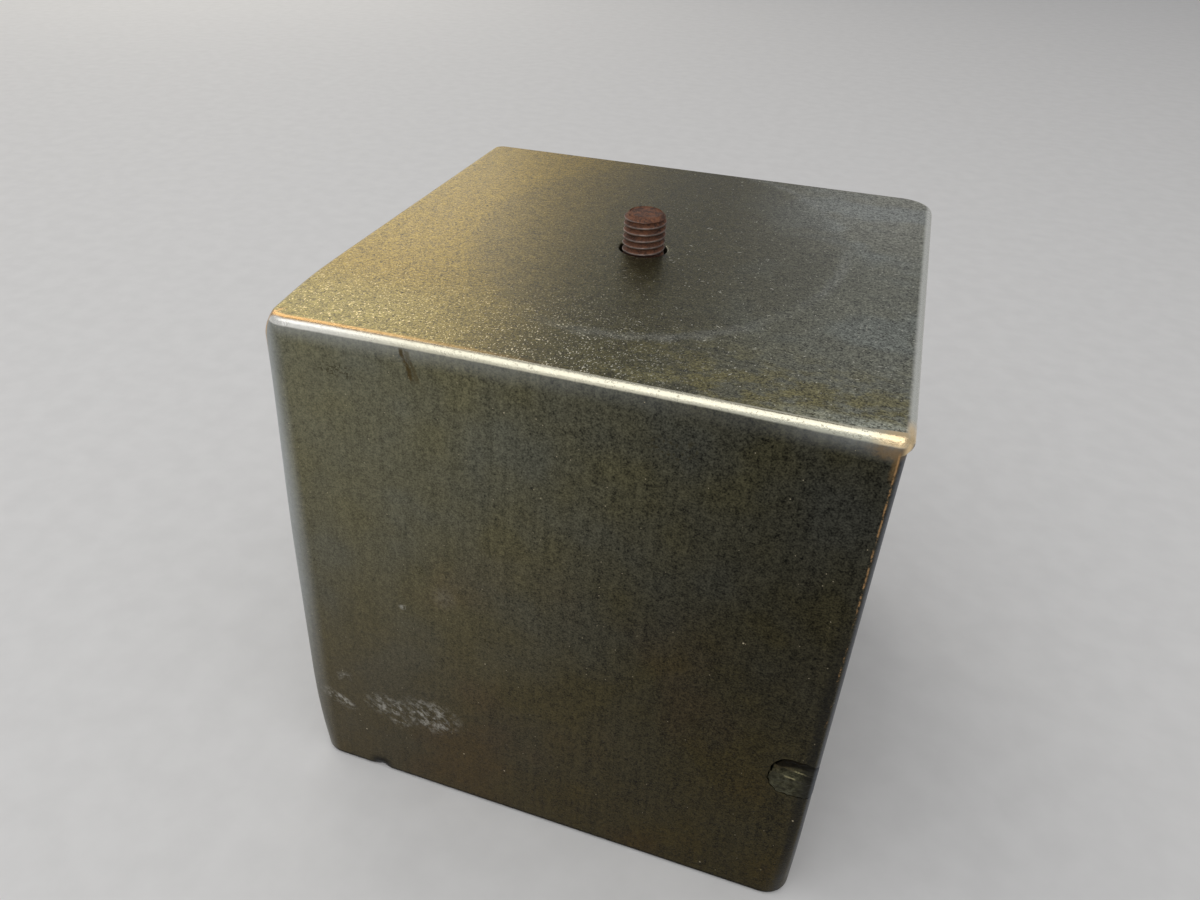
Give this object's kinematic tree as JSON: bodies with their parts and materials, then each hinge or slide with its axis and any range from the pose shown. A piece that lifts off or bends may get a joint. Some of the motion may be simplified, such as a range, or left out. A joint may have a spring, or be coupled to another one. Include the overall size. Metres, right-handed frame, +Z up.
{
  "type": "display plinth",
  "caption": "Small cube-shaped plinth of welded bronze plates with rounded worn edges, a fixing stud in its flat top and a felted closing board, for showing a small sculpture.",
  "frame": {"origin": "middle of the footprint, on the surface that the plinth stands on", "axes": "+Z up, front face towards -Y, +X to the right seen from the front"},
  "size_m": [0.1018, 0.1024, 0.1124],
  "materials": {
    "shell_bronze": "dark olive-brown patina, waxed, worn to gold on edges",
    "plug_bronze": "dull grey-green, rough",
    "weld_bronze": "as welded",
    "bare_bronze": "sawn and filed",
    "stud_steel": "rusted",
    "zinc_steel": "zinc plated",
    "board_wood": "oiled beech",
    "base_felt": "black felt"
  },
  "bodies": {
    "root": {"top_plate": "shell_bronze", "front_wall": "shell_bronze", "back_wall": "shell_bronze", "left_wall": "shell_bronze", "right_wall": "shell_bronze", "front_plug": "plug_bronze", "weld_front_left": "weld_bronze", "weld_front_right": "weld_bronze", "weld_back_left": "weld_bronze", "weld_back_right": "weld_bronze", "weld_top_front": "weld_bronze", "weld_top_right": "weld_bronze", "weld_top_back": "weld_bronze", "weld_top_left": "weld_bronze", "stud_pad": "bare_bronze", "fixing_stud": "stud_steel", "flat_washer": "zinc_steel", "spring_washer": "zinc_steel", "stud_nut": "zinc_steel", "corner_block_front_left": "bare_bronze", "corner_block_front_right": "bare_bronze", "corner_block_back_left": "bare_bronze", "corner_block_back_right": "bare_bronze", "base_screw_front_left": "zinc_steel", "base_screw_front_right": "zinc_steel", "base_screw_back_left": "zinc_steel", "base_screw_back_right": "zinc_steel", "base_board": "board_wood", "felt_pad": "base_felt"}
  },
  "joints": []
}
